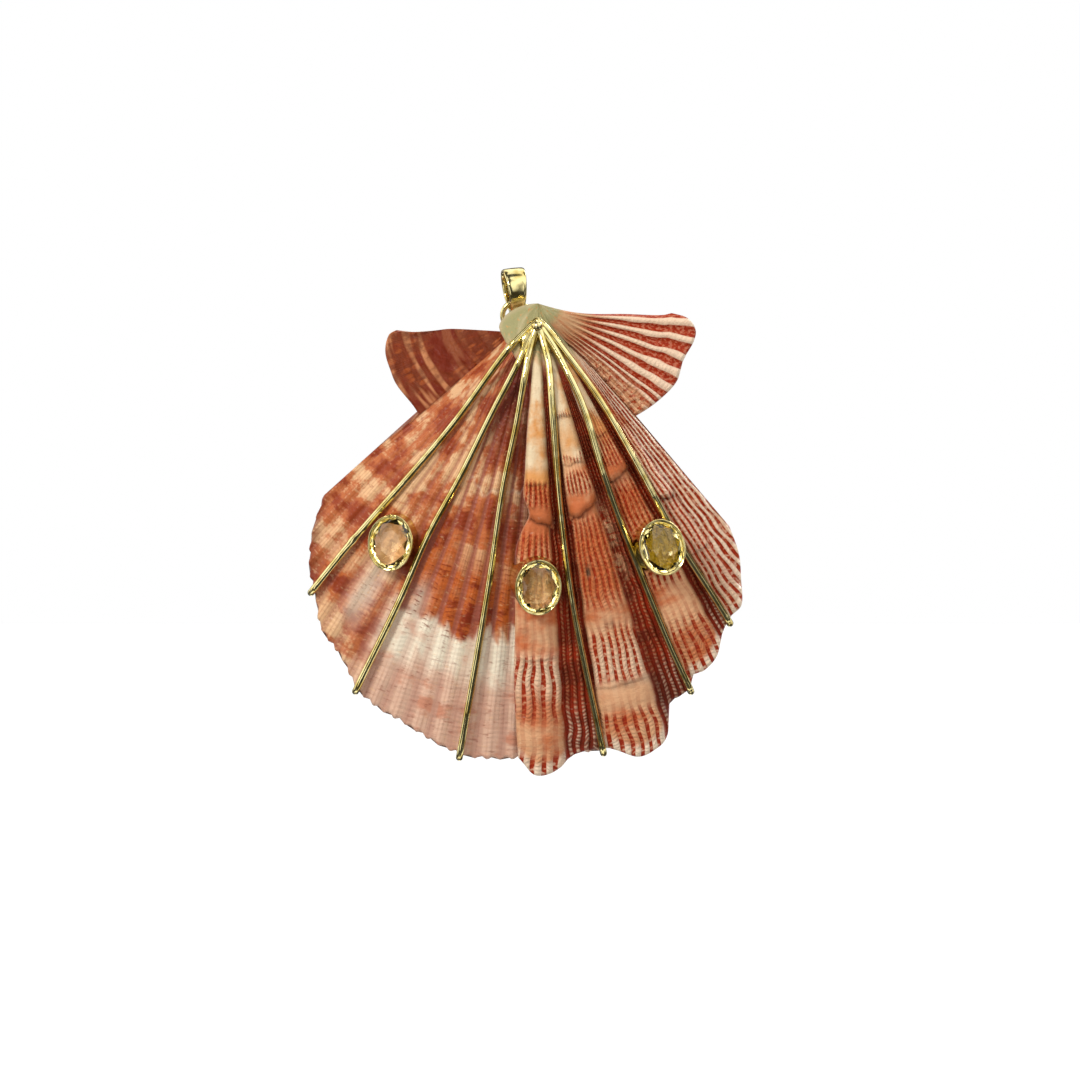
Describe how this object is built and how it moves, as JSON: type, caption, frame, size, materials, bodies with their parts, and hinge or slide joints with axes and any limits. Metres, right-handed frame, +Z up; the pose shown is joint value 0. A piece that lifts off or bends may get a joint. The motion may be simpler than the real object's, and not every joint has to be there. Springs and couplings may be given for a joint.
{
  "type": "scallop shell pendant",
  "caption": "Pendant of lapped half scallop shells under a fan of gold wires with oval citrines in bezels, hung from a ring and a bail.",
  "frame": {"origin": "middle of the bail's opening, where the chain runs", "axes": "+Z up along the hanging pendant, its longest extent; -Y is the face with the wires and stones; +X is the viewer's right"},
  "size_m": [0.0876, 0.0276, 0.1003],
  "materials": {
    "left_shell": "brick and cream mottled shell with low ribs, softly satin",
    "right_shell": "coral shell with white cords and brick grooves, matt and scaly",
    "gold": "polished yellow gold alloy",
    "citrine": "clear pale yellow faceted quartz"
  },
  "bodies": {
    "bail": {"bail": "gold"},
    "pendant": {"shell_left": "left_shell", "shell_right": "right_shell", "apex_plate": "gold", "pin": "gold", "wire_1": "gold", "wire_2": "gold", "wire_3": "gold", "wire_4": "gold", "wire_5": "gold", "wire_6": "gold", "bezel_1": "gold", "bezel_2": "gold", "bezel_3": "gold", "citrine_1": "citrine", "citrine_2": "citrine", "citrine_3": "citrine", "ring": "gold"}
  },
  "joints": [
    {"name": "swing", "type": "hinge", "parent": "bail", "child": "pendant", "pos_m": [0.0004, 0, -0.00415], "axis": [1, 0, 0], "range_deg": [-12, 60]}
  ]
}
